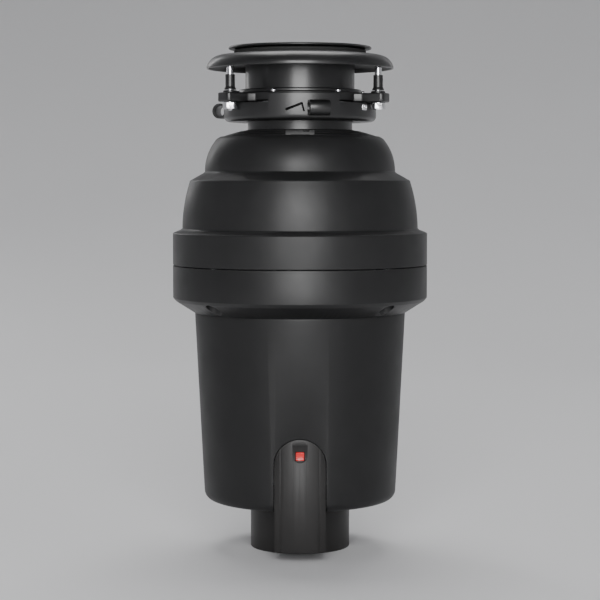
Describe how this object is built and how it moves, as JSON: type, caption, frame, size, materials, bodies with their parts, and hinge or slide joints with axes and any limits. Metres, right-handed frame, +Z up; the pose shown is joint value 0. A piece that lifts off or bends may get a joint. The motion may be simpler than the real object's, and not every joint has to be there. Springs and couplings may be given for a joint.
{
  "type": "kitchen waste disposer",
  "caption": "Under-sink food waste disposer with a three-bolt sink mount, stepped black housing, grinding chamber, motor and reset button.",
  "frame": {"origin": "middle of the underside of the base", "axes": "+Z up along the motor shaft, -Y towards the reset button, +Y towards the discharge outlet and dishwasher inlet"},
  "size_m": [0.203, 0.2135, 0.3996],
  "materials": {
    "shell_plastic": "fine satin black",
    "canister_finish": "fine matt black",
    "base_plastic": "matt black moulding",
    "black_steel": "glossy black coated steel",
    "chrome_steel": "bright plated",
    "steel": "satin stainless",
    "aluminium": "as cast",
    "copper": "enamelled copper",
    "brass": "stamped",
    "ferrite": "sintered",
    "black_rubber": "matt",
    "red_plastic": "gloss",
    "board": "solder-masked board",
    "foam": "open foam"
  },
  "bodies": {
    "housing": {"base_housing": "base_plastic", "brush_1": "ferrite", "brush_2": "ferrite", "brush_holder_1": "brass", "brush_holder_2": "brass", "brush_spring_1": "steel", "brush_spring_2": "steel", "canister_shell": "canister_finish", "circuit_board": "board", "clamp_band": "steel", "cord_grommet": "black_rubber", "flange_gasket": "black_rubber", "hopper": "black_steel", "inlet_knockout": "base_plastic", "lower_band": "shell_plastic", "lower_bearing": "steel", "lower_chamber": "aluminium", "lower_end_bell": "aluminium", "magnet_1": "ferrite", "magnet_2": "ferrite", "motor_bolt_1": "steel", "motor_bolt_2": "steel", "motor_can": "steel", "mounting_gasket": "black_rubber", "mounting_screw_1": "chrome_steel", "mounting_screw_2": "chrome_steel", "mounting_screw_3": "chrome_steel", "overload_protector": "base_plastic", "shaft_seal": "black_rubber", "shell_screw_1": "steel", "shell_screw_2": "steel", "shell_screw_3": "steel", "shell_screw_4": "steel", "shredder_ring": "steel", "sink_flange": "black_steel", "snap_ring": "steel", "support_pan": "black_steel", "threaded_sleeve_1": "black_steel", "threaded_sleeve_2": "black_steel", "threaded_sleeve_3": "black_steel", "upper_bearing": "steel", "upper_end_bell": "aluminium", "upper_insulation": "foam", "upper_mounting_ring": "black_steel", "upper_shell": "shell_plastic"},
    "rotor": {"turntable": "steel", "impeller_rivet_1": "steel", "impeller_rivet_2": "steel", "hub_nut": "steel", "motor_shaft": "steel", "armature_core": "steel", "armature_winding": "copper", "commutator": "copper"},
    "impeller_1": {"impeller_1": "steel"},
    "impeller_2": {"impeller_2": "steel"},
    "lock_ring": {"lock_ring": "black_steel"},
    "splash_baffle": {"splash_baffle": "black_rubber"},
    "reset_button": {"reset_button": "red_plastic"}
  },
  "joints": [
    {"name": "turntable_spin", "type": "hinge", "parent": "housing", "child": "rotor", "pos_m": [0, 0, 0.24], "axis": [0, 0, 1], "continuous": true},
    {"name": "impeller_1_swivel", "type": "hinge", "parent": "rotor", "child": "impeller_1", "pos_m": [0.036, 0, 0.2438], "axis": [0, 0, 1], "continuous": true},
    {"name": "impeller_2_swivel", "type": "hinge", "parent": "rotor", "child": "impeller_2", "pos_m": [-0.036, 0, 0.2438], "axis": [0, 0, 1], "continuous": true},
    {"name": "lock_ring_turn", "type": "hinge", "parent": "housing", "child": "lock_ring", "pos_m": [0, 0, 0.35], "axis": [0, 0, 1], "range_deg": [-20, 0]},
    {"name": "baffle_lift", "type": "slide", "parent": "housing", "child": "splash_baffle", "axis": [0, 0, 1], "range_m": [0, 0.05]},
    {"name": "reset_press", "type": "slide", "parent": "housing", "child": "reset_button", "axis": [0, 1, 0], "range_m": [0, 0.002], "stiffness_N_per_m": 300}
  ]
}
